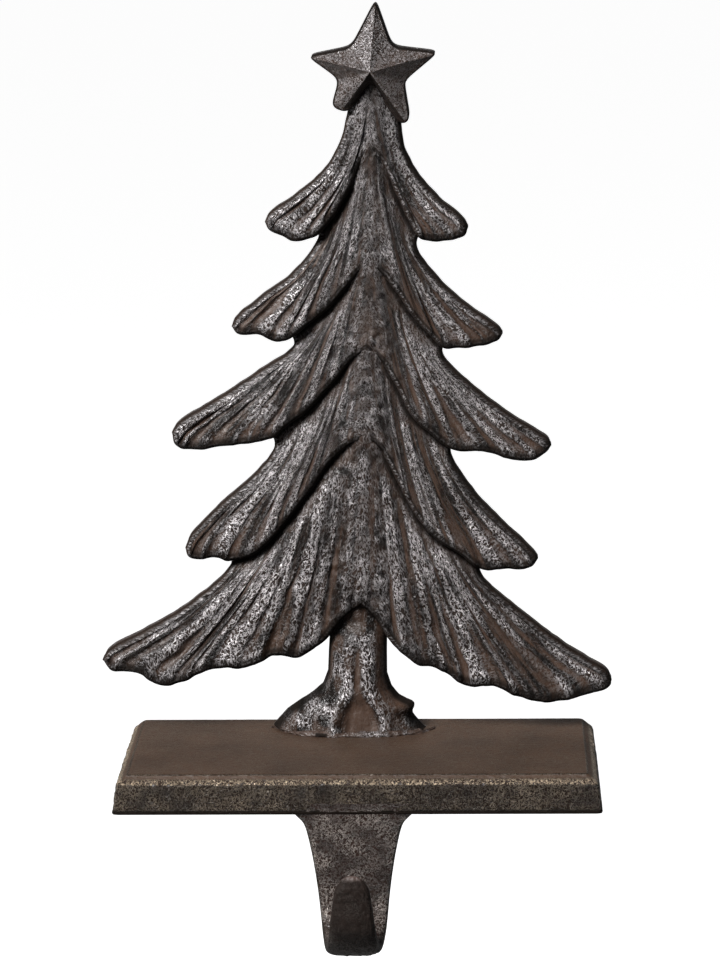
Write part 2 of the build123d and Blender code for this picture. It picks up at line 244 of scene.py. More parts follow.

# %% [markdown]
# ## The boughs
#
# Each tier is a pair of boughs that part below a vee, and it lies over the tier below like a shingle. The
# carver cut fans of round-nosed gouges that deepen towards the scalloped lower edge. A height map over a
# square grid would give jagged outlines, so each bough is a Coons patch instead: a net stretched between
# its upper contour, its lower edge, the spine and a hidden line under the tier above. The net's long lines
# run the way the gouges do. A rounded lip and a wall then go round the whole outline, and one flat face is
# the back.
#
# The measured outlines come first, in millimetres from the foot of the tree. Each side has its upper
# contour, from the shoulder to the tip, and then its lower edge, from the tip through its lobes and up the
# inner edge of the vee. The spine has fewer light crowns on the lower tiers, by the share called core.

# %% Bough outlines
BOUGHS = [
    {"upper": 183.0, "vee": 163.5, "core": 0.1,
     "left": ([(-5.6, 179.5), (-6.9, 172.0), (-8.4, 165.2), (-12.8, 157.1), (-20.3, 150.2),
               (-27.0, 145.4)],
              [(-28.6, 142.6), (-27.0, 140.1), (-23.6, 138.8), (-21.0, 137.5), (-17.4, 137.9),
               (-14.0, 139.5), (-9.5, 144.8), (-5.6, 151.8), (-2.7, 158.8)]),
     "right": ([(6.0, 179.0), (7.9, 171.0), (9.3, 163.6), (13.5, 156.1), (19.6, 149.6), (25.2, 145.3)],
               [(27.1, 142.4), (25.6, 139.8), (20.5, 138.4), (16.7, 138.4), (13.6, 139.4),
                (10.2, 144.8), (7.0, 151.6), (3.6, 158.8)])},
    {"upper": 169.0, "vee": 132.0, "core": 0.3,
     "left": ([(-16.4, 144.0), (-14.0, 138.2), (-20.5, 128.8), (-28.6, 122.4), (-35.8, 116.2)],
              [(-37.3, 113.4), (-35.2, 111.2), (-29.1, 111.2), (-25.5, 109.7), (-21.3, 110.2),
               (-18.0, 113.0), (-13.2, 116.9), (-8.6, 121.4), (-3.8, 127.6)]),
     "right": ([(16.0, 143.5), (13.1, 136.6), (19.1, 128.1), (27.5, 120.8), (35.2, 115.7)],
               [(37.3, 113.3), (35.7, 111.0), (31.1, 109.6), (24.3, 108.9), (20.6, 109.2),
                (17.4, 112.2), (12.5, 117.3), (8.2, 123.6), (3.8, 129.0)])},
    {"upper": 137.5, "vee": 108.0, "core": 0.6,
     "left": ([(-22.6, 114.0), (-20.4, 107.9), (-29.8, 100.8), (-41.0, 93.0), (-50.4, 87.0)],
              [(-53.4, 83.4), (-52.0, 79.4), (-45.8, 78.7), (-39.7, 79.9), (-32.5, 80.8), (-25.6, 82.6),
               (-21.6, 86.1), (-16.0, 90.6), (-9.4, 97.9), (-3.9, 104.9)]),
     "right": ([(23.6, 113.0), (21.0, 106.6), (30.6, 97.3), (40.8, 90.1), (49.6, 84.9)],
               [(51.6, 82.4), (49.8, 80.0), (45.3, 78.0), (38.9, 78.7), (33.3, 80.3), (24.6, 80.6),
                (17.4, 85.6), (12.3, 90.5), (8.5, 97.7), (3.8, 105.2)])},
    {"upper": 113.5, "vee": 82.5, "core": 0.6,
     "left": ([(-27.6, 86.0), (-25.0, 79.6), (-31.0, 71.3), (-39.6, 63.4), (-47.3, 55.0)],
              [(-49.3, 50.8), (-48.3, 48.2), (-45.4, 47.5), (-40.2, 48.4), (-36.6, 47.5), (-29.5, 50.0),
               (-22.6, 57.2), (-15.2, 67.3), (-9.8, 75.6), (-4.1, 81.2)]),
     "right": ([(27.0, 86.0), (24.0, 79.0), (30.4, 68.9), (37.7, 61.2), (46.4, 53.4)],
               [(48.8, 50.4), (47.3, 48.2), (44.0, 47.2), (38.4, 47.3), (33.4, 46.9), (27.4, 50.9),
                (19.7, 56.1), (13.6, 63.3), (8.9, 72.1), (3.8, 81.0)])},
    {"upper": 88.0, "vee": 36.0, "core": 0.6,
     "left": ([(-39.4, 52.0), (-36.9, 45.4), (-47.9, 34.8), (-59.4, 27.3), (-69.5, 21.7)],
              [(-72.1, 18.2), (-69.4, 15.2), (-61.6, 14.5), (-58.4, 12.4), (-54.5, 11.4), (-49.4, 12.6),
               (-43.3, 15.8), (-37.1, 17.3), (-33.4, 17.0), (-27.6, 19.1), (-22.8, 21.2), (-18.0, 20.2),
               (-14.6, 22.2), (-9.6, 26.0), (-5.0, 32.0)]),
     "right": ([(35.4, 52.0), (33.0, 45.2), (45.7, 34.0), (58.4, 24.9), (68.1, 19.4)],
               [(70.3, 16.4), (69.4, 14.2), (63.4, 11.9), (55.4, 9.8), (50.6, 9.7), (43.8, 11.3),
                (38.9, 13.5), (34.6, 13.9), (29.4, 13.9), (25.2, 16.6), (20.6, 18.9), (16.4, 19.3),
                (12.6, 22.0), (8.8, 25.6), (4.4, 31.6)])},
]

for tier in BOUGHS:
    print("tier from", tier["left"][1][0], "to", tier["right"][1][0], "vee at", tier["vee"], "mm")

# %% [markdown]
# ## The gouges
#
# Every gouge is one stroke of a round-nosed tool, and no two are alike. Each is written down with four
# numbers, from the tip of its side to the spine: its place along the lower edge, its half width there, how
# far down the net the cut starts, and its depth in millimetres. The first three are shares from 0 to 1.

# %% Gouges
GOUGES = [
    {"left": [(0.07, 0.05, 0.55, 1.1), (0.2, 0.06, 0.45, 1.3), (0.33, 0.055, 0.42, 1.2),
              (0.47, 0.05, 0.5, 0.9), (0.64, 0.06, 0.55, 0.8)],
     "right": [(0.08, 0.055, 0.55, 0.9), (0.2, 0.05, 0.5, 1.0), (0.33, 0.055, 0.42, 1.1),
               (0.46, 0.05, 0.45, 0.9), (0.62, 0.06, 0.55, 0.7)]},
    {"left": [(0.06, 0.045, 0.62, 1.1), (0.16, 0.055, 0.5, 1.3), (0.27, 0.05, 0.5, 1.1),
              (0.4, 0.06, 0.38, 1.4), (0.56, 0.06, 0.45, 0.9), (0.72, 0.06, 0.6, 0.7)],
     "right": [(0.06, 0.045, 0.62, 1.0), (0.17, 0.055, 0.48, 1.2), (0.29, 0.05, 0.42, 1.2),
               (0.42, 0.055, 0.45, 1.0), (0.57, 0.055, 0.5, 0.9), (0.73, 0.06, 0.6, 0.7)]},
    {"left": [(0.06, 0.045, 0.66, 1.3), (0.14, 0.04, 0.55, 1.2), (0.24, 0.055, 0.42, 1.4),
              (0.35, 0.045, 0.5, 1.2), (0.46, 0.05, 0.4, 1.3), (0.6, 0.05, 0.5, 0.9),
              (0.75, 0.055, 0.6, 0.7)],
     "right": [(0.06, 0.045, 0.66, 1.1), (0.15, 0.05, 0.5, 1.4), (0.26, 0.045, 0.5, 1.2),
               (0.37, 0.05, 0.42, 1.3), (0.48, 0.045, 0.5, 1.0), (0.62, 0.055, 0.5, 0.8),
               (0.77, 0.055, 0.6, 0.6)]},
    {"left": [(0.05, 0.04, 0.62, 1.3), (0.13, 0.045, 0.48, 1.3), (0.24, 0.05, 0.5, 1.1),
              (0.36, 0.045, 0.6, 0.8), (0.5, 0.05, 0.45, 0.8), (0.66, 0.055, 0.55, 0.7),
              (0.8, 0.05, 0.6, 0.6)],
     "right": [(0.05, 0.04, 0.6, 1.1), (0.14, 0.05, 0.46, 1.4), (0.25, 0.045, 0.42, 1.2),
               (0.36, 0.05, 0.55, 1.0), (0.5, 0.05, 0.5, 0.9), (0.65, 0.055, 0.55, 0.7),
               (0.8, 0.05, 0.6, 0.6)]},
    {"left": [(0.035, 0.034, 0.72, 1.3), (0.115, 0.044, 0.52, 1.7), (0.2, 0.04, 0.44, 1.5),
              (0.285, 0.036, 0.4, 1.5), (0.36, 0.034, 0.5, 1.4), (0.44, 0.036, 0.34, 1.6),
              (0.53, 0.036, 0.4, 1.6), (0.62, 0.036, 0.45, 1.7), (0.715, 0.034, 0.5, 1.6),
              (0.83, 0.036, 0.6, 1.0)],
     "right": [(0.035, 0.034, 0.72, 1.2), (0.11, 0.04, 0.55, 1.5), (0.19, 0.04, 0.42, 1.6),
               (0.275, 0.036, 0.5, 1.3), (0.35, 0.036, 0.34, 1.6), (0.43, 0.034, 0.4, 1.4),
               (0.52, 0.036, 0.36, 1.5), (0.61, 0.036, 0.45, 1.4), (0.71, 0.036, 0.5, 1.2),
               (0.83, 0.036, 0.6, 0.8)]},
]

print("gouges on each tier", [len(cuts["left"]) + len(cuts["right"]) for cuts in GOUGES])

# %% [markdown]
# ## A net inside each outline
#
# The rounded lip needs room, so the net ends a lip's width inside the outline. Its border is the outline
# moved inwards, square to itself. A Coons patch fills the border in one step, where a grid fill in Blender
# would need its corners picked by hand.

# %% Net of a bough
LIP = 1.4
COLUMNS = 250
ROWS = 120


def outward_of(outline):
    """Unit vectors to the right of the way the outline runs, smoothed so that a notch doesn't fold over.

    The last few turn to point straight down, because there the outline meets its neighbour at the vee."""
    step = np.gradient(outline, axis=0)
    for _ in range(6):
        step[1:-1] = (step[:-2] + 2 * step[1:-1] + step[2:]) / 4
    step /= np.linalg.norm(step, axis=1)[:, None]
    outward = np.column_stack([step[:, 1], -step[:, 0]])
    turn = smooth_step(np.linspace(-9, 1, len(outline)))[:, None]
    outward = outward * (1 - turn) + np.array([0.0, -1.0]) * turn
    return outward / np.linalg.norm(outward, axis=1)[:, None]


def coons(side, end, top, low):
    """A Coons patch: the net between side and end, plus the net between top and low, less the corners' net.

    Points are u along top and low, v along side and end."""
    u = np.linspace(0, 1, len(top))[None, :, None]
    v = np.linspace(0, 1, len(side))[:, None, None]
    lengthways = (1 - u) * side[:, None] + u * end[:, None]
    crossways = (1 - v) * top[None] + v * low[None]
    corners = (1 - u) * ((1 - v) * top[0] + v * low[0]) + u * ((1 - v) * top[-1] + v * low[-1])
    return lengthways + crossways - corners


def bough_plan(tier, side):
    """A bough's outline, its outward directions, the net inside its lip, and its lower edge's length."""
    upper, lower = tier[side]
    mirror = np.array([1.0 if side == "left" else -1.0, 1.0])
    contour = resample(upper + lower[:1], ROWS)
    edge = resample(lower + [(0.0, tier["vee"])], COLUMNS)
    outline = np.vstack([contour[:-1], edge])
    outward = outward_of(outline * mirror) * mirror
    inner = outline - outward * LIP
    side_line = evenly(inner[:ROWS], ROWS)
    low_line = inner[ROWS - 1:]
    spine_top = np.array([0.0, tier["upper"]])
    top_line = side_line[0] + (spine_top - side_line[0]) * np.linspace(0, 1, COLUMNS)[:, None]
    end_line = top_line[-1] + (low_line[-1] - top_line[-1]) * np.linspace(0, 1, ROWS)[:, None]
    edge_length = np.linalg.norm(np.diff(low_line, axis=0), axis=1).sum()
    return outline, outward, coons(side_line, end_line, top_line, low_line), edge_length


print("lower edge of the lowest left bough", round(bough_plan(BOUGHS[-1], "left")[3], 1), "mm")

# %% [markdown]
# ## Cutting the gouges
#
# A boolean with round cutters would leave hard edges and broken meshes. Here the cuts are only numbers over
# the net, taken off its depth, and their floors are marked as smooth skin. The tier above casts a shallow
# shaded seam along its lower edge, and the distance to that edge says where.

# %% Cuts and seams
EARLY = 0.20
GOLDEN = 0.618


def carve(u, v, gouges, seed):
    """How deep the gouges cut, and how smooth their floors are, over the net.

    Across its width each cut is (1 - tt)(1 - tt), with t from -1 to 1, which leaves soft shoulders. The
    width opens from its start to the lower edge, the depth grows with it, and the cut wanders a little.
    Cleaner cuts are deeper and smoother, and the golden ratio spreads them along the edge."""
    cut = np.zeros_like(u)
    floor = np.zeros_like(u)
    wander = 0.018 * grit(v * 4, u * 9, 1.0, seed) + 0.009 * grit(v * 11, u * 24, 1.0, seed + 1)
    lively = 0.85 + 0.4 * grit(v * 5, u * 14, 1.0, seed + 2)
    for number, (place, width, start, depth) in enumerate(gouges):
        clean = 0.60 + 0.40 * ((number * GOLDEN + seed * 0.37) % 1.0)
        begin = start - EARLY
        run = smooth_step((v - begin) / (1 - begin) * 1.25)
        half = width * (0.35 + 0.65 * run)
        bowl = np.clip(1 - ((u + wander - place) / half) ** 2, 0, 1) ** 2 * run * lively
        cut = np.maximum(cut, (0.45 + 0.35 * clean) * depth * bowl)
        polish = 0.9 * smooth_step(bowl * 1.9 - 0.35) * clean
        floor = np.maximum(floor, polish * np.clip(0.45 + 0.65 * lively, 0, 1))
    return cut, floor


def nearness(x, y, tier, side, reach):
    """1 on the lower edge of this tier and falling to 0 at this reach from it, by the nearest distance."""
    line = resample(tier[side][1] + [(0.0, tier["vee"])], 90)
    gap = np.full(x.shape, 1e9)
    for px, py in line:
        gap = np.minimum(gap, (x - px) ** 2 + (y - py) ** 2)
    return smooth_step(1 - np.sqrt(gap) / reach)


print("deepest gouge", max(cut[3] for cuts in GOUGES for side in cuts.values() for cut in side), "mm")

# %% [markdown]
# ## The skin of one bough
#
# A bough is highest at the spine and falls to its shoulder and tip. Fine ribs run with the gouges, in
# strands about 1.6 mm wide gathered in bundles of 3.6 mm, and the spine has its own upright streaks. The
# ribs' crowns are painted lighter, partly as worn lacquer and partly as painted highlight, so the same
# numbers that raise them also set that share.
# The grain's own place is measured along the net, so that the grain runs with the gouges too.

# %% Skin of a bough
SPINE_HIGH, SPINE_LOW = 8.3, 8.15
SHOULDER_DEPTH, TIP_DEPTH = 5.2, 6.4
SEAM_REACH, SEAM_DEPTH = 5.5, 1.8
GRAIN_LENGTH = 34.0
HOLLOW_UP, HOLLOW_RADIUS = 34, 8


def uncut_depth(u, v):
    """From the side to the spine the depth rises as a quarter sine wave, with a soft swell between."""
    rise = np.sin(0.5 * np.pi * u) ** 0.9
    at_side = SHOULDER_DEPTH + (TIP_DEPTH - SHOULDER_DEPTH) * v
    at_spine = SPINE_HIGH + (SPINE_LOW - SPINE_HIGH) * v
    swell = 0.6 * np.sin(np.pi * np.clip(u * 1.15, 0, 1)) * smooth_step(v * 1.4)
    return at_side + (at_spine - at_side) * rise + swell


def bough_net(tier, above, gouges, side, seed):
    """One bough's front from its contour to the spine, as arrays over its net: its plan and depth, the
    shares of smooth floor, of wear with painted highlight and of painted shade, and the grain's place.

    Depth is the uncut depth, less gouges and seam, plus grit and threads where the skin is rough, plus
    the streaks of the core. Threads grow from nothing under the tier above."""
    top_tier, low_tier = above is None, tier is BOUGHS[-1]
    outline, outward, net, edge_length = bough_plan(tier, side)
    u = np.broadcast_to(np.linspace(0, 1, COLUMNS)[None, :], net.shape[:2])
    v = np.broadcast_to(np.linspace(0, 1, ROWS)[:, None], net.shape[:2])
    x, y = net[..., 0], net[..., 1]
    along = u * edge_length
    depth = uncut_depth(u, v)
    cut, floor = carve(u, v, gouges, seed + 7)

    # The relief: grit, strands and bundles that run down the net, and streaks up the core.
    rough = 0.16 * grit(x, y, 1.7, seed) + 0.10 * grit(x, y, 0.85, seed + 1)
    strands = grit(along, v * 5, 1.6, seed + 2) + 0.7 * grit(along, v * 9, 0.8, seed + 4)
    bundles = grit(along, v * 3, 3.6, seed + 8)
    grow = smooth_step(v * 2.2 - 0.4) if top_tier else smooth_step(v * 3)
    threads = (0.18 * strands + 0.50 * bundles) * grow
    core = smooth_step((u - 0.60) * 2.6)
    bent = x + 0.4 * grit(y, x, 5.0, seed + 13)
    streaks = (0.30 * grit(bent, y * 0.45, 1.6, seed + 3) + 0.30 * grit(x, y * 0.9, 1.3, seed + 5)) * core
    streaks = streaks * (0.5 if top_tier else 1.0)

    # Smooth skin lies between the bundles and in patches on the core. Painted shade lies along the lower
    # edge and the right bough's upper contour, and, as a painted shadow of the tier above, close under its
    # edge.
    floor = np.maximum(floor, 0.85 * smooth_step(-0.8 * strands - 1.7 * bundles - 0.5) * grow)
    floor = np.maximum(floor, 0.42 * core * smooth_step(0.5 + 1.6 * grit(x, y * 0.6, 2.8, seed + 12)))
    edge_shade = 0.9 * smooth_step((v - 0.962) / 0.03)
    if side == "right":
        edge_shade = np.maximum(edge_shade, 0.8 * smooth_step((0.018 - u) / 0.012))
    if not top_tier:
        fade = smooth_step((np.abs(x) - 0.8) / 5)
        seam = nearness(x, y, above, side, SEAM_REACH) * fade
        depth = depth - SEAM_DEPTH * seam
        ragged = 1.6 * seam + 0.5 * grit(x, y, 2.4, seed + 11) - 0.35
        floor = np.maximum(floor, 0.55 * smooth_step(ragged))
        # Painted shadow of the tier above, close under its lower edge.
        edge_shade = np.maximum(edge_shade, smooth_step(5.0 * seam - 3.9))
    depth = depth - cut + (rough + threads) * (1 - 0.85 * floor) + streaks

    # The share of wear and painted highlight is high on the crowns of threads and streaks, in patches of
    # 7 mm, and less on the core.
    patches = 0.34 * grit(x, y, 7.0, seed + 6)
    crowns = 0.50 + 1.9 * threads + 0.9 * streaks + patches - tier["core"] * core
    flecks = np.clip(0.26 + 0.55 * grit(x, y, 1.9, seed + 14), 0, 1)
    wear_and_highlight = (1 - floor) * smooth_step(crowns)
    wear_and_highlight = np.maximum(wear_and_highlight, (1 - floor) * core * flecks)
    row_length = np.linalg.norm(np.diff(net, axis=1), axis=2).sum(axis=1)[:, None]
    outwards = 1.0 if side == "left" else -1.0
    weave = np.stack([outwards * (u - 1) * row_length, v * GRAIN_LENGTH, depth], axis=-1)
    if low_tier:
        from_vee = np.sqrt((x / HOLLOW_RADIUS) ** 2 + ((y - HOLLOW_UP) / HOLLOW_RADIUS) ** 2)
        hollow = smooth_step(1.25 - from_vee)
        lumps = grit(x, y, 2.6, seed + 9)
        depth = depth - hollow * (1.3 - 0.7 * lumps)
        wear_and_highlight = wear_and_highlight * (1 - 0.6 * hollow) + 0.9 * hollow * smooth_step(2.4 * lumps - 0.6)
    if top_tier:
        depth = depth + 1.4 * (1 - v) ** 2 - 3.0 * (1 - smooth_step(v / 0.10)) ** 2
    return {"outline": outline, "outward": outward, "plan": net, "depth": depth, "floor": floor,
            "wear_and_highlight": wear_and_highlight, "edge_shade": edge_shade, "weave": weave}


print("depth of an uncut bough at its shoulder", uncut_depth(0, 0), "and spine", uncut_depth(1, 0), "mm")

# %% [markdown]
# ## A whole tier
#
# The left and right boughs meet at the spine, where their numbers are blended so that no line shows. Eight
# rings of points then go round the outline: five down a quarter-round lip, and three down the wall to the
# back. A Bevel modifier could round the lip, but it would stumble on the gouges that run out through it.
# Each ring has its own share of smooth skin, of painted shade and of wear with painted highlight. Painted
# shade darkens the lip and the top of the wall, most on the sides that face away from the key lamp, and a
# painted highlight lightens the top of the lip on the side that faces up and to the left.

# %% Tiers
LIP_ANGLES = np.radians([18, 36, 54, 72, 90])
WALL_SHARES = (0.35, 0.7, 1.0)
# Each ring from the lip to the back: smooth, painted shade where shaded, least painted shade, painted
# highlight where lit, least wear, and how far the grain's place has gone down in mm.
RIM = [(0.1, 0.7, 0.0, 0.6, 0.0, 0.1), (0.3, 1.0, 0.2, 0.4, 0.0, 0.4), (0.6, 1.0, 0.6, 0.0, 0.0, 0.8),
       (0.8, 1.0, 0.9, 0.0, 0.0, 1.2), (0.9, 1.0, 1.0, 0.0, 0.0, 1.6), (0.7, 0.5, 0.5, 0.0, 0.1, 3.0),
       (0.3, 0.0, 0.0, 0.0, 0.25, 5.0), (0.1, 0.0, 0.0, 0.0, 0.25, 7.0)]


def side_by_side(left, right):
    """The left net's rows run on into the right net's, without repeating the spine."""
    return np.concatenate([left, right[:, ::-1][:, 1:]], axis=1)


def across_spine(left, right, reach):
    """Both nets side by side, and near the spine, by a bell curve of this many columns, their mean."""
    joined = side_by_side(left, right)
    near = np.exp(-((np.arange(joined.shape[1]) - COLUMNS + 1) / reach) ** 2)[None, :]
    return joined * (1 - near) + (left[:, -1:] + right[:, -1:]) / 2 * near


def tier_piece(number):
    """A tier: both nets side by side, a quarter-round lip, a drafted wall and a flat back."""
    tier, gouges = BOUGHS[number], GOUGES[number]
    above = BOUGHS[number - 1] if number else None
    left = bough_net(tier, above, gouges["left"], "left", 10 * number)
    right = bough_net(tier, above, gouges["right"], "right", 10 * number + 5)
    plan = side_by_side(left["plan"], right["plan"])
    weave = side_by_side(left["weave"], right["weave"]).reshape(-1, 3)
    depth = across_spine(left["depth"], right["depth"], 6.0)
    floor, wear_and_highlight, edge_shade = (across_spine(left[key], right[key], 12.0) for key in ("floor", "wear_and_highlight", "edge_shade"))

    # The outline goes down the left, along both lower edges, up the right and back over the hidden top.
    rows, columns = depth.shape
    index = np.arange(rows * columns).reshape(rows, columns)
    loop = np.concatenate([index[:, 0], index[-1, 1:], index[:-1, -1][::-1], index[0, 1:-1][::-1]])
    hidden = plan[0, 1:-1][::-1]
    outline = np.vstack([left["outline"], right["outline"][::-1][1:], hidden])
    upwards = np.tile([0.0, 1.0], (len(hidden), 1))
    outward = np.vstack([left["outward"], right["outward"][::-1][1:], upwards])
    reach = np.concatenate([np.ones(len(loop) - len(hidden)), np.zeros(len(hidden))])[:, None]
    wavy = outward * (0.14 * grit(outline[:, 0], outline[:, 1], 2.3, 70 + number)[:, None])
    start_plan = plan.reshape(-1, 2)[loop]
    start_depth = depth.reshape(-1)[loop]
    plans, depths = [plan.reshape(-1, 2)], [depth.reshape(-1)]
    for angle in LIP_ANGLES:
        plans.append(start_plan + (outline - start_plan + wavy) * np.sin(angle) * reach)
        depths.append(np.maximum(start_depth - LIP * (1 - np.cos(angle)), 1.0))
    lip_depth, back = depths[-1], 0.02 * number
    for share in WALL_SHARES:
        plans.append(outline + wavy * reach)
        depths.append(lip_depth * (1 - share) + back * share)

    # Shaded goes from 0.25 on the sides that face the key lamp, up and to the left, to 1 on those that face
    # away. It sets the painted shade round the lip and keeps the painted highlight off the shaded sides.
    shaded = 0.25 + 0.75 * smooth_step(0.55 + outward @ np.array([0.75, -0.75]))
    skins, shade_shares, wear_and_highlights, weaves = [floor.reshape(-1)], [edge_shade.reshape(-1)], [wear_and_highlight.reshape(-1)], [weave]
    for smooth, shade_share, least_shade, lit_highlight, least_worn, drop in RIM:
        skins.append(np.full(len(loop), smooth))
        shade_shares.append(np.maximum(shaded * shade_share, least_shade))
        wear_and_highlights.append(lit_highlight * (1 - shaded) + least_worn)
        weaves.append(weave[loop] - [0, 0, drop])

    quads = np.stack([index[:-1, :-1], index[1:, :-1], index[1:, 1:], index[:-1, 1:]], axis=-1)
    added = rows * columns + np.arange(len(RIM) * len(loop)).reshape(len(RIM), len(loop))
    rings = np.vstack([loop[None], added])
    after = np.roll(rings, -1, axis=1)
    wall = np.stack([rings[:-1], rings[1:], after[1:], after[:-1]], axis=-1)
    faces = quads.reshape(-1, 4).tolist() + wall.reshape(-1, 4).tolist() + [rings[-1][::-1].tolist()]
    all_plan = np.vstack(plans)
    points = stand(all_plan[:, 0], all_plan[:, 1], np.concatenate(depths))
    shares = [np.concatenate(part) for part in (skins, shade_shares, wear_and_highlights)]
    return make_piece("tier_%d" % (number + 1), points, faces, "tree_casting", *shares, np.vstack(weaves))


tiers = [tier_piece(number) for number in range(len(BOUGHS))]

# %% [markdown]
# ## The trunk
#
# The trunk is a D-shaped bar that spreads into roots where it meets the plate. Between the two front roots
# there is a smooth hollow like an arrowhead, with glossy ridges beside it. Rings stacked up its height
# follow the measured left and right edges, and the hollow and ridges are added to each ring's depth.

# %% Trunk
TRUNK_TOP = 46
BACK_SKIN = 0.8
# Measured sizes in mm, each as its height above the plate and its value there.
TRUNK_LEFT = [(46, -8.2), (30, -8.6), (22, -8.9), (16, -9.0), (12.2, -10.3), (9.9, -12.9), (7.4, -16.4),
              (4.5, -20.1), (2.0, -22.4), (0, -23.8)]
TRUNK_RIGHT = [(46, 7.2), (30, 7.3), (22, 7.4), (15.7, 7.6), (12.0, 8.9), (9.4, 11.0), (8.3, 13.0),
               (7.7, 14.6), (7.0, 15.6), (6.3, 15.8), (5.5, 15.4), (4.3, 15.5), (2.8, 16.4), (1.4, 17.6),
               (0, 18.6)]
TRUNK_DEPTH = [(46, 5.0), (31, 5.6), (26.5, 8.6), (22, 9.0), (14, 10.0), (8.5, 11.0), (4.5, 11.9),
               (0, 12.5)]


def at_height(table, height):
    """A measured size at these heights, straight between the table's rows."""
    rows = np.array(table, dtype=float)[::-1]
    return np.interp(height, rows[:, 0], rows[:, 1])


def trunk_piece():
    """Rings of a half superellipse in front and a flat back, with hollow, ridges and grit in their depth.

    A ring's front is its depth times sine to the 0.72, from the left edge at pi to the right edge at 0."""
    height = np.linspace(TRUNK_TOP, 0, 150)[:, None]
    front = np.linspace(np.pi, 0, 170)[None, :]
    left, right = at_height(TRUNK_LEFT, height), at_height(TRUNK_RIGHT, height)
    low = smooth_step((12 - height) / 6)
    left = left - 0.9 * grit(height, 0 * height, 2.3, 95) * low
    right = right + 0.7 * grit(height, 0 * height, 2.1, 96) * low
    across = (left + right) / 2 + (right - left) / 2 * np.cos(front)
    everywhere = height + 0 * across
    deep = at_height(TRUNK_DEPTH, height + 0.05 * across ** 2 * smooth_step((height - 20) / 6))
    depth = deep * np.sin(front) ** 0.72

    # The arrow-shaped hollow opens downwards, and the ridges follow its two sides.
    spread = smooth_step((16 - height) / 14)
    side_x = np.abs(across + 0.6 - 1.2 * spread)
    arrow = np.clip(1 - side_x / (1.5 + 5.3 * spread ** 1.3), 0, 1) * smooth_step((26 - height) / 5)
    ridge = np.exp(-((side_x - (2.4 + 5.4 * spread)) / 1.5) ** 2) * smooth_step((27 - height) / 5)
    lumps = (0.9 * grit(across, height, 4.2, 93) + 0.5 * grit(across, height, 2.0, 94)) * low
    grain = 0.22 * grit(across, height * 0.6, 1.5, 91) + 0.12 * grit(across, height, 0.8, 92)

    # The hollow, both flanks and some upright patches are smooth.
    left_flank = smooth_step((-np.cos(front) - 0.74) / 0.14) * smooth_step((height - 12) / 5)
    right_flank = smooth_step((np.cos(front) - 0.50) / 0.22) * smooth_step((height - 4) / 4)
    flank = np.maximum(left_flank, right_flank)
    smooth = np.maximum(smooth_step(arrow * 2.2 * (0.5 + 0.5 * low)), 0.85 * flank)
    smooth = np.maximum(smooth, 0.6 * smooth_step(0.2 - 1.8 * grit(across, height * 0.6, 3.0, 97)))
    depth = depth - (0.3 + 1.5 * low) * smooth_step(arrow * 1.6) + (0.6 + 0.5 * low) * ridge
    depth = np.maximum(depth + grain * (1 - 0.85 * smooth) + lumps * (1 - smooth) * np.sin(front), 0.0)
    depth[:, 0] = depth[:, -1] = 0.0
    points = stand(across, everywhere, depth).reshape(-1, 3)
    points[:, 2] = np.maximum(points[:, 2], PLATE_HEIGHT)

    # The back is skinned like the backs of the tiers. Painted shade darkens the sides that turn away, the
    # ridges get more wear and painted highlight, and that share fades out on the neck under the tier above.
    behind = depth < BACK_SKIN
    skin = np.where(behind, 0.1, smooth)
    shade_share = smooth_step((np.abs(np.cos(front)) - 0.85) / 0.1) * ~behind
    wear_and_highlight = (1 - smooth) * np.clip(0.22 + 0.7 * ridge + 0.6 * grit(across, height, 3.4, 93), 0, 1)
    wear_and_highlight = np.where(behind, 0.25, wear_and_highlight * smooth_step((30 - height - 0.05 * across ** 2) / 3))
    weave = np.stack([across, 0.6 * everywhere, depth], axis=-1)
    faces = [face[::-1] for face in ring_faces(*depth.shape)]
    return make_piece("trunk", points, faces, "tree_casting", skin, shade_share, wear_and_highlight, weave)


trunk = trunk_piece()

# %% [markdown]
# ## The star
#
# The star is a thick five-pointed block whose ten facets rise to one soft peak. Its two lower arms were
# cut short where the sprue was broken off. Rings round the centre grow from the peak to the rim, so each
# facet is straight from the centre outwards, and smoothing the rim's corners a little rounds every ridge
# with it.

# %% Star
STAR_PEAK, STAR_RIM, STAR_LIP = 14.3, 8.2, 0.8
STAR_CENTRE = (-0.5, 184.9)
STAR_CORNERS = [(0.4, 203.9), (5.2, 191.3), (17.9, 190.1), (8.6, 182.0), (10.7, 171.2), (8.0, 170.0),
                (0.0, 180.4), (-6.6, 173.0), (-11.1, 174.6), (-9.0, 182.2), (-17.8, 188.2), (-6.0, 190.9)]
# Each facet of the star, by the angle in degrees where it ends, and its share of painted highlight,
# larger on the facets that face the key lamp.
FACETS = [(-162, 0.12), (-124, 0.42), (-84, 0.0), (-55, 0.0), (-18, 0.34), (16, 0.12), (50, 0.38),
          (87, 0.48), (131, 0.85), (168, 0.45), (181, 0.12)]


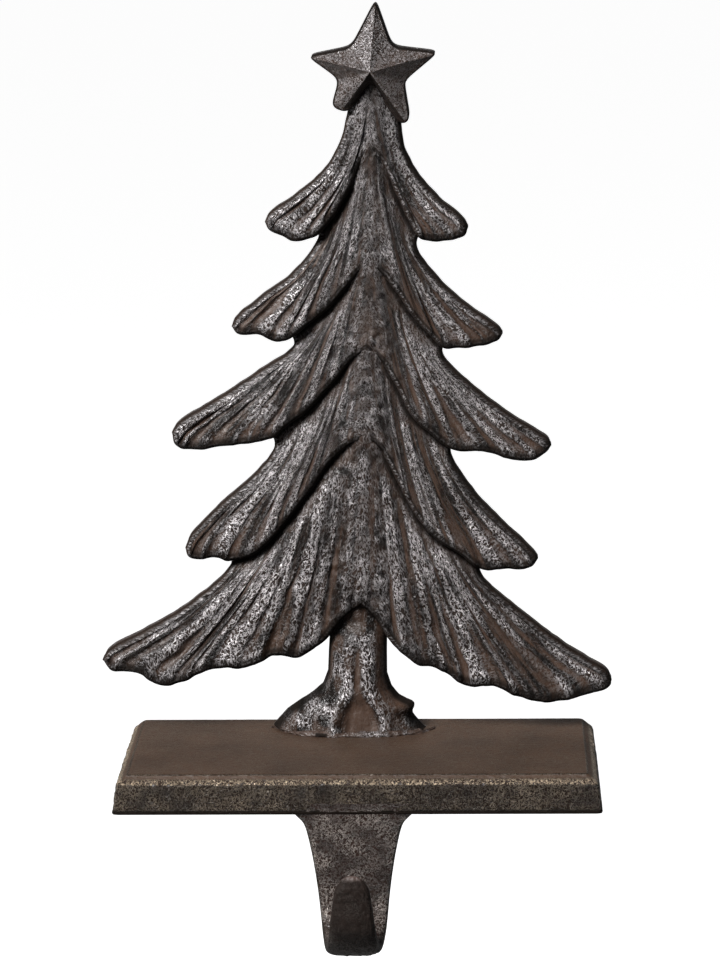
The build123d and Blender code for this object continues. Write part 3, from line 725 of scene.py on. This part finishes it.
def star_piece():
    """Rings scaled from the centre to the rim, then a quarter-round lip, a wall and the flat back."""
    rim = evenly(np.array(STAR_CORNERS + STAR_CORNERS[:1]), 481)[:-1]
    for _ in range(70):
        rim = (np.roll(rim, 1, axis=0) + 2 * rim + np.roll(rim, -1, axis=0)) / 4
    step = np.roll(rim, -1, axis=0) - np.roll(rim, 1, axis=0)
    outward = np.column_stack([-step[:, 1], step[:, 0]])
    outward /= np.linalg.norm(outward, axis=1)[:, None]
    inner = rim - outward * STAR_LIP
    centre = np.array(STAR_CENTRE)
    rings, depths = [], []
    for share in np.concatenate([[0.02, 0.05], np.linspace(0.09, 1, 60)]):
        rings.append(centre + (inner - centre) * share)
        depths.append(np.full(len(rim), STAR_PEAK - (STAR_PEAK - STAR_RIM) * max(share, 0.06)))
    lip_ring = len(rings) + 1
    for angle in LIP_ANGLES:
        rings.append(inner + (rim - inner) * np.sin(angle))
        depths.append(np.full(len(rim), STAR_RIM - STAR_LIP * (1 - np.cos(angle))))
    wall_ring = len(rings) + 1
    for share in (0.3, 0.6, 0.9, 1.0):
        rings.append(rim)
        depths.append(np.full(len(rim), (STAR_RIM - STAR_LIP) * (1 - share) + 0.1 * share))
    plan, depth = np.array(rings), np.array(depths)
    x, y = plan[..., 0], plan[..., 1]
    depth[:-1] += (0.12 * grit(x, y, 1.2, 61) + 0.05 * grit(x, y, 0.6, 62))[:-1]
    angle = np.degrees(np.arctan2(y - centre[1], x - centre[0]))
    facet = np.searchsorted([end for end, _ in FACETS], angle)
    wear_and_highlight = np.array([share for _, share in FACETS])[facet]
    # A facet's share brings painted highlight to its crowns and less smooth skin; facets with none get
    # painted shade, and so does the lip.
    skin = 0.50 - 0.3 * wear_and_highlight
    shade_share = 0.75 * (wear_and_highlight == 0)
    shade_share[lip_ring:] = 0.9
    wear_and_highlight[lip_ring:] = 0.0
    skin[wall_ring:], shade_share[wall_ring:], wear_and_highlight[wall_ring:] = 0.1, 0.1, 0.25
    points = stand(x, y, depth).reshape(-1, 3)
    faces = ring_faces(len(rings), len(rim))
    return make_piece("star", points, faces, "tree_casting", skin, shade_share, wear_and_highlight, points * 1.5)


star = star_piece()

# %% [markdown]
# ## The plate
#
# The plate is a flat slab whose front and ends lean in a little, so that it left the sand cleanly, with a
# bevel up to a smooth panel. Its front face kept the sand's coarse grain. Loops round the plate follow
# that profile up from the underside, and the grit is added along each loop's own outward direction.

# %% Plate
PLATE_WIDTH, PLATE_DEPTH = 132.0, 64.0
PANEL_INSET, PANEL_RUN = 4.4, 25.0
PLATE_POINTS = 700
POINT_STEP = 0.55


def plate_loop(half_width, front, back, round_off):
    """A rectangle with rounded corners, as points evenly spaced by length, counter-clockwise from above."""
    turns = np.radians(np.linspace(0, 90, 9))
    corners = []
    for cx, cy, start in ((half_width, back, 0), (-half_width, back, 90),
                          (-half_width, front, 180), (half_width, front, 270)):
        at = np.array([cx - np.sign(cx) * round_off, cy - np.sign(cy) * round_off])
        turn = turns + np.radians(start)
        corners.append(at + round_off * np.column_stack([np.cos(turn), np.sin(turn)]))
    return evenly(np.vstack(corners + [corners[0][:1]]), PLATE_POINTS + 1)[:-1]


def plate_profile():
    """Underside, foot, leaning wall, edge, bevel, edge and panel: how far each loop leans in and its height
    in mm, then its shares of rough edge and smooth skin."""
    rows = [(6.0, 0.0, 0.0, 1), (2.2, 0.0, 0.0, 1), (0.7, 0.0, 0.0, 1)]
    rows += [(0.2, 0.2, 0.0, 1), (0.0, 0.7, 0.2, 1)]
    rows += [(1.1 * share, 8.5 * share, 1.0, 0) for share in np.linspace(0.12, 0.93, 14)]
    rows += [(1.25, 8.2, 1.0, 0), (1.55, 8.5, 0.9, 0), (2.1, 8.9, 0.5, 0), (2.9, 9.5, 0.3, 1)]
    rows += [(3.5, 9.95, 0.4, 1), (3.9, 10.25, 0.6, 0), (PANEL_INSET, PLATE_HEIGHT, 0.3, 1)]
    rows += [(PANEL_INSET + PANEL_RUN * share, PLATE_HEIGHT, 0.0, 0.84)
             for share in np.linspace(0.04, 0.96, 26)]
    return rows


def plate_piece():
    """Loops up the profile, moved in by grit. The back edge is upright, 0.4 to 0.9 mm inside the depth."""
    profile = plate_profile()
    run = np.arange(PLATE_POINTS) * POINT_STEP
    points, skin, shade_share, wear_and_highlight = [], [], [], []
    for lean, height, rough, smooth in profile:
        far_in = lean > PANEL_INSET
        shorter = 0.4 if 0 < height < PLATE_HEIGHT else 0.9
        back = PLATE_DEPTH / 2 - max(0.0, lean - PANEL_INSET) - shorter * (not far_in)
        loop = plate_loop(PLATE_WIDTH / 2 - lean, -PLATE_DEPTH / 2 + lean, back, 1.0)
        step = np.roll(loop, -1, axis=0) - np.roll(loop, 1, axis=0)
        out = np.column_stack([step[:, 1], -step[:, 0]])
        out /= np.linalg.norm(out, axis=1)[:, None]
        bump = 0.16 * grit(run, height + lean, 1.1, 41) + 0.1 * grit(run, height * 1.7 + lean, 0.6, 42)
        loop = loop - out * (0.12 + bump[:, None]) * rough
        sag = 0.05 * grit(loop[:, 0], loop[:, 1], 14.0, 43) * (height > 10)
        points.append(np.column_stack([loop, np.full(PLATE_POINTS, height) + sag - 0.06 * (height > 10)]))
        skin.append(np.full(PLATE_POINTS, float(smooth)))
        # Painted shade darkens the lowest 1.3 mm of the plate, and a painted highlight with some wear lies
        # along the front top edge.
        shade_share.append(np.full(PLATE_POINTS, float(height < 1.3)))
        patches = 0.15 + 0.07 * grit(run, 0 * run, 13.0, 44) + 0.12 * grit(run, height + 0 * run, 3.0, 45)
        wear_and_highlight.append(np.clip(patches + 0.9 * (8.0 < height < 9.2), 0, 1))
    faces = ring_faces(len(profile), PLATE_POINTS)
    shares = [np.concatenate(part) for part in (skin, shade_share, wear_and_highlight)]
    return make_piece("plate", np.vstack(points), faces, "shelf_casting", *shares)


plate = plate_piece()

# %% [markdown]
# ## The strap and hook
#
# The strap drops from the plate's front edge, narrows, and curls forward and up into a tongue. It was cast
# with the plate and has the same coarse grain. A rounded bar section is carried along the strap's centre
# line, and its width and thickness change on the way.

# %% Hook
STRAP_CENTRE = -1.0
STRAP_THICKNESS = 6.0
STRAP_TOP = 3.0
HOOK_THROAT = 15.0
HOOK_DROP = 37.4
TONGUE_RISE = 12.0
TONGUE_TIP = 4.4


def hook_piece():
    """Sections square to a J-shaped line: straight down, half a turn forwards, then straight up.

    Each section is a superellipse: cosine and sine to a power from 0.36, nearly square, to 0.70, nearly
    round. The last few millimetres close like the end of an ellipse."""
    inner = HOOK_THROAT / 2
    middle = inner + STRAP_THICKNESS / 2
    bend_y = -PLATE_DEPTH / 2 - inner
    bend_z = -HOOK_DROP + STRAP_THICKNESS + inner
    down = STRAP_TOP - bend_z
    half_turn = middle * np.pi
    bent = down + half_turn
    total = bent + TONGUE_RISE
    s = np.linspace(0, total, 230)
    turn = np.clip((s - down) / middle, 0, np.pi)
    thick = np.interp(s, [0, down, bent, total - 3, total], [6.0, 6.0, 4.6, 4.2, 3.4])
    radius = inner + thick / 2
    centre_y = bend_y + radius * np.cos(turn)
    centre_z = np.where(s < down, STRAP_TOP - s, bend_z - radius * np.sin(turn)) + np.maximum(s - bent, 0)
    places = [0, 3.0, 3.6, 4.6, 6.4, 9.8, 15, 20, 25, down, down + 0.25 * half_turn, down + 0.5 * half_turn,
              bent, total - 4, total]
    widths = [34.0, 33.4, 31.0, 28.4, 26.4, 24.6, 22.5, 20.9, 19.6, 19.2, 17.6, 15.6, 11.8, 9.6, 7.0]
    width = np.interp(s, places, widths)
    width = np.convolve(np.pad(width, 4, mode="edge"), np.ones(9) / 9, mode="valid")
    close = np.sqrt(np.clip(1 - ((s - (total - TONGUE_TIP)) / TONGUE_TIP).clip(0, 1) ** 2, 0.002, 1))
    width, thick = width * (0.12 + 0.88 * close), thick * close

    around = np.linspace(0, 2 * np.pi, 121)[:-1]
    power = 0.36 + 0.34 * smooth_step(turn / np.pi * 1.4)[:, None]
    side = np.sign(np.cos(around)) * np.abs(np.cos(around)) ** power
    front = np.sign(np.sin(around)) * np.abs(np.sin(around)) ** power
    across = width[:, None] / 2 * side
    along = s[:, None] + 0 * across
    over = across + 9 * front
    grain = 0.17 * grit(over, along, 1.2, 51) + 0.1 * grit(over, along, 0.65, 52)
    off = thick[:, None] / 2 * front * 0.97 + (grain - 0.12) * front
    x = STRAP_CENTRE + across * 0.99
    y = centre_y[:, None] - off * np.cos(turn)[:, None]
    z = centre_z[:, None] + off * np.sin(turn)[:, None]
    points = np.stack([x, y, z], axis=-1).reshape(-1, 3)

    # The tongue is smooth outside. Painted shade darkens the outside of the bend and tongue, which faces
    # forward and down, and the strap's sides, and a painted highlight brightens the tip.
    rim = smooth_step((s[:, None] - total + 1.6) / 1.2)
    skin = 0.15 + 0.6 * smooth_step((s[:, None] - down - half_turn * 0.8) / 6) + 0 * x
    shade_share = smooth_step((turn[:, None] / np.pi - 0.40) / 0.25) * smooth_step((-front - 0.1) / 0.4)
    shade_share = np.maximum(shade_share, 0.8 * smooth_step((np.abs(np.cos(around)) - 0.80) / 0.15))
    wear_and_highlight = np.clip(0.24 + 0.34 * grit(across, s[:, None], 4.0, 53), 0.05, 1) + 0.15 * rim
    faces = ring_faces(len(s), len(around))
    return make_piece("hook", points, faces, "shelf_casting", skin, 0.9 * shade_share * (1 - rim), wear_and_highlight)


hook = hook_piece()

# %% [markdown]
# ## The weld
#
# A bead of weld metal joins the trunk's foot to the plate. It froze in uneven lumps, with narrow crevices
# where it meets the plate. A half-round section is carried round the foot, and its size swells and
# shrinks along the way. The crevices are only painted shade, since they are narrower than the bead's grit.

# %% Weld
WELD_LEFT, WELD_RIGHT = -25.5, 20.4


def weld_piece():
    """A half-round bead along the foot's front, whose radius follows grit of two sizes.

    Its line is the front of a superellipse, 12 mm deep, and its size falls to nothing at both ends."""
    x = np.linspace(WELD_LEFT, WELD_RIGHT, 240)
    flat = 0 * x
    share = (x + 1.8) / 22.6
    y = TREE_BACK - 12.0 * np.sqrt(np.clip(1 - np.abs(share) ** 2.6, 0.02, 1)) - 0.2
    ends = np.sqrt(np.clip(1 - np.abs((x + 2.55) / 23.2) ** 8, 0.003, 1))
    size = (1.35 + 0.6 * grit(x, flat, 4.6, 81) + 0.35 * grit(x, flat, 1.8, 82)) * ends
    around = np.linspace(0, np.pi, 25)[None, :]
    step = np.gradient(np.column_stack([x, y]), axis=0)
    out = np.column_stack([step[:, 1], -step[:, 0]])
    out /= np.linalg.norm(out, axis=1)[:, None]
    reach = size[:, None] * np.cos(around)
    rough = 0.22 * grit(x[:, None] + 0 * reach, 3 * around + 0 * reach, 0.9, 83)
    px = x[:, None] + out[:, :1] * (reach + rough)
    py = y[:, None] + out[:, 1:] * (reach + rough)
    pz = PLATE_HEIGHT + size[:, None] * np.sin(around) * 0.8 + np.clip(rough, 0, 1) * np.sin(around)
    points = np.stack([px, py, pz], axis=-1).reshape(-1, 3)
    faces = [face[::-1] for face in ring_faces(*reach.shape)]
    splash = smooth_step(2.6 * grit(x, flat, 3.0, 84) - 0.8)[:, None] + 0 * reach
    foot = smooth_step((np.cos(around) - 0.55) / 0.25)
    # Painted shade in the crevices along the bead's foot.
    crevice_shade = smooth_step(4.0 * grit(x, flat, 2.8, 86) - 0.9)[:, None] * foot
    skin, wear_and_highlight = 0.8 - 0.65 * splash, 0.8 * splash * (1 - crevice_shade)
    return make_piece("weld", points, faces, "weld_bead", skin, crevice_shade, wear_and_highlight)


weld = weld_piece()

# %% [markdown]
# ## Colours and nodes
#
# Colours are written as they look on a screen and turned to linear light by one function. Another adds a
# node to a material and links its inputs by name, so that each step of a material is one line. Where
# several inputs share a name, as on a Mix node, n and a number gives the input's place in the list.

# %% Material helpers
def linear(code):
    """A hex colour as linear light, by the sRGB curve."""
    shown = np.array([int(code[k:k + 2], 16) for k in (1, 3, 5)]) / 255
    light = np.where(shown <= 0.04045, shown / 12.92, ((shown + 0.055) / 1.055) ** 2.4)
    return (*light.tolist(), 1.0)


def add(tree, kind, settings=None, **inputs):
    """A node with its settings, then its inputs by name: a number, a colour, or another node's output."""
    made = tree.nodes.new("ShaderNode" + kind)
    for key, value in (settings or {}).items():
        setattr(made, key, value)
    for key, value in inputs.items():
        by_place = key[0] == "n" and key[1:].isdigit()
        socket = made.inputs[int(key[1:]) if by_place else key.replace("_", " ")]
        if isinstance(value, bpy.types.NodeSocket):
            tree.links.new(value, socket)
        else:
            socket.default_value = value
    return made


print("mid grey as linear light", round(linear("#808080")[0], 3))

# %% [markdown]
# ## Lacquered cast iron
#
# Under the lacquer the metal is grey iron, cast in green sand. The lacquer is a warm brown-black and
# fairly glossy. On smooth skin it is a quiet satin brown. Rough skin has short curled ridges, 0.7 to
# 0.9 mm apart, whose crowns are painted silver, partly as rubbed-off lacquer and partly as painted
# highlight. Under the lips, along the shaded edges and in the seams, painted shade turns the colour
# nearly black and takes away the gloss.
#
# Plain noise gives clouds and Voronoi cells give pebbles. The line along which a noise has its middle value
# curls as the real ridges do, so the distance from that line gives their height, their gloss and their
# bright crowns. The shares stored at each point mix the skins.

# %% Lacquered cast iron
TIMES = {"operation": "MULTIPLY"}
TIMES_PLUS = {"operation": "MULTIPLY_ADD"}
SOFTLY = {"interpolation_type": "SMOOTHSTEP"}
COLOURS = {"data_type": "RGBA"}
PATCH_SIZE = 14.0
BROAD_GRAIN = 2.4
RELIEF = 0.34
# The near black that painted shade turns the colour to.
SHADED_LACQUER = "#0d0a08"


def cells(size):
    """A noise scale for grains this many millimetres across, as the grain's places are in millimetres."""
    return 1.0 / size


def cast_iron(name, smooth_colour, patch_colour, rough_colour, thin_colour, crown_colour, grain):
    """Grey iron under brown lacquer: satin where smooth, and curly ridges with brighter crowns where rough.

    Curl is 1 where the fine noise is 0.5 and falls to 0 at 0.115 to either side, by the smooth step. Rough
    is 1 less the smooth share, whose border the broad noise moves about. A crown is a sharp curl on rough
    skin, scaled by its share of wear and painted highlight. The bump adds the curls, the broad noise and a
    quarter of the fine noise."""
    material = bpy.data.materials.new(name)
    material.use_nodes = True
    tree = material.node_tree
    shader = tree.nodes["Principled BSDF"]
    place = add(tree, "Attribute", {"attribute_name": "grain_place"}).outputs["Vector"]
    skin = add(tree, "Attribute", {"attribute_name": "smooth_skin"}).outputs["Fac"]
    shade_share = add(tree, "Attribute", {"attribute_name": "painted_shade_skin"}).outputs["Fac"]
    wear_and_highlight = add(tree, "Attribute", {"attribute_name": "wear_and_highlight_skin"}).outputs["Fac"]
    fine = add(tree, "TexNoise", Vector=place, Scale=cells(grain), Detail=2.0, Roughness=0.6,
               Distortion=0.5).outputs["Fac"]
    broad = add(tree, "TexNoise", Vector=place, Scale=cells(grain * BROAD_GRAIN), Detail=2.0,
                Roughness=0.5).outputs["Fac"]
    patch = add(tree, "TexNoise", Vector=place, Scale=cells(PATCH_SIZE), Detail=3.0,
                Roughness=0.55).outputs["Fac"]

    # The curled ridges, and where the skin is rough, worn or given painted highlight, and crowned.
    middle = add(tree, "Math", {"operation": "SUBTRACT"}, n0=fine, n1=0.5).outputs[0]
    off = add(tree, "Math", {"operation": "ABSOLUTE"}, n0=middle).outputs[0]
    curl = add(tree, "MapRange", SOFTLY, Value=off, From_Max=0.115, To_Min=1.0, To_Max=0.0).outputs[0]
    sharp = add(tree, "MapRange", SOFTLY, Value=curl, From_Min=0.38, From_Max=0.80).outputs[0]
    edge = add(tree, "Math", TIMES_PLUS, n0=broad, n1=0.9, n2=-0.45).outputs[0]
    smooth = add(tree, "Math", {"operation": "ADD", "use_clamp": True}, n0=skin, n1=edge).outputs[0]
    rough = add(tree, "Math", {"operation": "SUBTRACT", "use_clamp": True}, n0=1.0, n1=smooth).outputs[0]
    bare_and_highlight = add(tree, "Math", TIMES, n0=wear_and_highlight, n1=rough).outputs[0]
    crown = add(tree, "Math", TIMES, n0=sharp, n1=bare_and_highlight).outputs[0]

    # Colour: patchy satin brown, or thin lacquer over rough iron with bright crowns that are partly wear
    # and partly painted highlight, and near black under painted shade.
    tone = add(tree, "Mix", COLOURS, Factor=patch, n6=linear(smooth_colour), n7=linear(patch_colour))
    thin = add(tree, "Math", TIMES, n0=bare_and_highlight, n1=0.6).outputs[0]
    coat = add(tree, "Mix", COLOURS, Factor=thin, n6=linear(rough_colour), n7=linear(thin_colour))
    both_skins = add(tree, "Mix", COLOURS, Factor=rough, n6=tone.outputs[2], n7=coat.outputs[2])
    crowned = add(tree, "Mix", COLOURS, Factor=crown, n6=both_skins.outputs[2], n7=linear(crown_colour))
    dim = add(tree, "Math", TIMES, n0=shade_share, n1=0.9).outputs[0]
    colour = add(tree, "Mix", COLOURS, Factor=dim, n6=crowned.outputs[2], n7=linear(SHADED_LACQUER))
    tree.links.new(colour.outputs[2], shader.inputs["Base Color"])

    # Gloss: rough lacquer shines from its ridges and hardly between them, and hardly at all under painted
    # shade.
    metal = add(tree, "Math", TIMES, n0=crown, n1=0.5).outputs[0]
    tree.links.new(metal, shader.inputs["Metallic"])
    gloss = add(tree, "MapRange", Value=rough, To_Min=0.50, To_Max=0.30).outputs[0]
    matt = add(tree, "Mix", Factor=shade_share, n2=gloss, n3=0.75).outputs[0]
    tree.links.new(matt, shader.inputs["Roughness"])
    hollows = add(tree, "Math", TIMES_PLUS, n0=sharp, n1=0.26, n2=0.26).outputs[0]
    sheen = add(tree, "Mix", Factor=shade_share, n2=hollows, n3=0.06).outputs[0]
    tree.links.new(sheen, shader.inputs["Specular IOR Level"])

    # Relief, in millimetres.
    ridges = add(tree, "Math", TIMES, n0=curl, n1=rough).outputs[0]
    quiet = add(tree, "Math", TIMES_PLUS, n0=fine, n1=0.25, n2=ridges).outputs[0]
    height = add(tree, "Math", {"operation": "ADD"}, n0=broad, n1=quiet).outputs[0]
    bump = add(tree, "Bump", Strength=1.0, Distance=RELIEF * MM, Height=height).outputs["Normal"]
    tree.links.new(bump, shader.inputs["Normal"])
    return material


# Each crown colour is a pale silver, partly for iron where the lacquer wore off and partly as a painted
# highlight.
tree_iron = cast_iron("lacquered_sand_cast_iron_tree", "#402f25", "#2d211a", "#0f0b09", "#352d29",
                      "#c3bebf", grain=0.90)
plate_iron = cast_iron("lacquered_sand_cast_iron_plate", "#402f23", "#251b14", "#150f0b", "#2c2019",
                       "#ab9a84", grain=0.70)
hook_iron = cast_iron("lacquered_sand_cast_iron_hook", "#40302a", "#281d18", "#1d1512", "#33241e",
                      "#b8aea6", grain=0.80)
weld_iron = cast_iron("lacquered_weld_metal", "#40312a", "#2a211b", "#1c1512", "#3f3732", "#a19b9c",
                      grain=0.90)
for piece in tiers + [trunk, star]:
    piece.data.materials.append(tree_iron)
for piece, iron in ((plate, plate_iron), (hook, hook_iron)):
    piece.data.materials.append(iron)
weld.data.materials.append(weld_iron)
print("materials", [iron.name for iron in (tree_iron, plate_iron, hook_iron, weld_iron)])

# %% [markdown]
# ## Background
#
# The photograph has a plain white background. A white world would flood the paint with light, so the world
# is white only for rays from the camera and rays through glass. Glossy rays that go on behind the object
# meet a seventh of that white, which gives the upright sides their faint bright edge, and all other rays
# meet an almost black world.

# %% Background
LARGER = {"operation": "MAXIMUM"}
DIM_WORLD = 0.03
MIRRORED_SHARE = 0.15


def studio_world(tree):
    """White for camera and transmission rays, a share of it for glossy rays that go back, dim elsewhere."""
    path = add(tree, "LightPath")
    way = add(tree, "SeparateXYZ", Vector=add(tree, "TexCoord").outputs["Generated"])
    behind = add(tree, "MapRange", Value=way.outputs["Y"], From_Min=0.1, From_Max=0.5)
    mirror = add(tree, "Math", TIMES, n0=path.outputs["Is Glossy Ray"], n1=behind.outputs[0])
    mirror = add(tree, "Math", TIMES, n0=mirror.outputs[0], n1=MIRRORED_SHARE)
    direct = add(tree, "Math", LARGER, n0=path.outputs["Is Camera Ray"], n1=mirror.outputs[0])
    seen = add(tree, "Math", LARGER, n0=direct.outputs[0], n1=path.outputs["Is Transmission Ray"])
    dim = add(tree, "Background", Color=(1, 1, 1, 1), Strength=DIM_WORLD)
    white = add(tree, "Background", Color=(1, 1, 1, 1), Strength=1.0)
    return add(tree, "MixShader", n0=seen.outputs[0], n1=dim.outputs[0], n2=white.outputs[0])


world = bpy.data.worlds.new("studio")
bpy.context.scene.world = world
world.use_nodes = True
mixed = studio_world(world.node_tree)
world.node_tree.links.new(mixed.outputs[0], world.node_tree.nodes["World Output"].inputs["Surface"])
print("world", world.name, "with", len(world.node_tree.nodes), "nodes")

# %% [markdown]
# ## Floor
#
# The floor is a pale sheet half a metre below the shelf line, where it catches the shadow out of the
# camera's sight. It glows only for rays from the camera, so that it looks as white as the world behind it
# from above, and it sends no extra light up to the object.

# %% Floor
FLOOR_LEFT, FLOOR_RIGHT, FLOOR_FRONT, FLOOR_BACK, FLOOR_LEVEL = -9, 9, -0.4, 16, -0.5
floor_corners = [(FLOOR_LEFT, FLOOR_FRONT, FLOOR_LEVEL), (FLOOR_RIGHT, FLOOR_FRONT, FLOOR_LEVEL),
                 (FLOOR_RIGHT, FLOOR_BACK, FLOOR_LEVEL), (FLOOR_LEFT, FLOOR_BACK, FLOOR_LEVEL)]
floor_mesh = bpy.data.meshes.new("floor")
floor_mesh.from_pydata(floor_corners, [], [(0, 1, 2, 3)])
floor = bpy.data.objects.new("floor", floor_mesh)
bpy.context.scene.collection.objects.link(floor)
paper = bpy.data.materials.new("white_paper")
paper.use_nodes = True
paper_tree = paper.node_tree
sheet = paper_tree.nodes["Principled BSDF"]
sheet.inputs["Base Color"].default_value = linear("#d2d2d2")
sheet.inputs["Roughness"].default_value = 0.9
sheet.inputs["Specular IOR Level"].default_value = 0.1
seen = add(paper_tree, "LightPath").outputs["Is Camera Ray"]
glow = add(paper_tree, "Emission", Color=(1, 1, 1, 1), Strength=0.95)
bright = add(paper_tree, "AddShader", n0=sheet.outputs[0], n1=glow.outputs[0])
shown = add(paper_tree, "MixShader", n0=seen, n1=sheet.outputs[0], n2=bright.outputs[0])
paper_tree.links.new(shown.outputs[0], paper_tree.nodes["Material Output"].inputs["Surface"])
floor_mesh.materials.append(paper)
print("floor", FLOOR_RIGHT - FLOOR_LEFT, "by", FLOOR_BACK - FLOOR_FRONT, "m")

# %% [markdown]
# ## Lamps
#
# One large soft lamp up on the left gives the silver highlights and the shadows under the boughs. A faint
# one opens up the right side. The third lights the back, for views from behind, and doesn't show in
# reflections, because the plate's top would mirror it.

# %% Lamps
LAMP_SIZE = 0.6


def lamp(name, place, aim, power):
    """A square soft lamp, in metres and watts, turned so that its -Z side faces the aim."""
    light = bpy.data.lights.new(name, "AREA")
    light.shape = "SQUARE"
    light.size = LAMP_SIZE
    light.energy = power
    made = bpy.data.objects.new(name, light)
    bpy.context.scene.collection.objects.link(made)
    back = np.array(place) - np.array(aim)
    back = back / np.linalg.norm(back)
    right = np.cross([0, 0, 1], back)
    right /= np.linalg.norm(right)
    turn = np.eye(4)
    turn[:3, :3] = np.column_stack([right, np.cross(back, right), back])
    turn[:3, 3] = place
    made.matrix_world = Matrix(turn.tolist())
    print(name, "lamp of", power, "W")
    return made


lamp("key", (-0.60, -0.75, 0.95), (0, 0, 0.12), 55.0)
lamp("fill", (0.9, -0.9, 0.45), (0, 0, 0.1), 0.9)
back_lamp = lamp("back", (-0.2, 1.1, 0.7), (0, 0, 0.1), 12.0)
back_lamp.visible_glossy = False

# %% [markdown]
# ## Colour handling
#
# The Standard view shows each colour about as it is written.

# %% Colour handling
bpy.context.scene.view_settings.view_transform = "Standard"
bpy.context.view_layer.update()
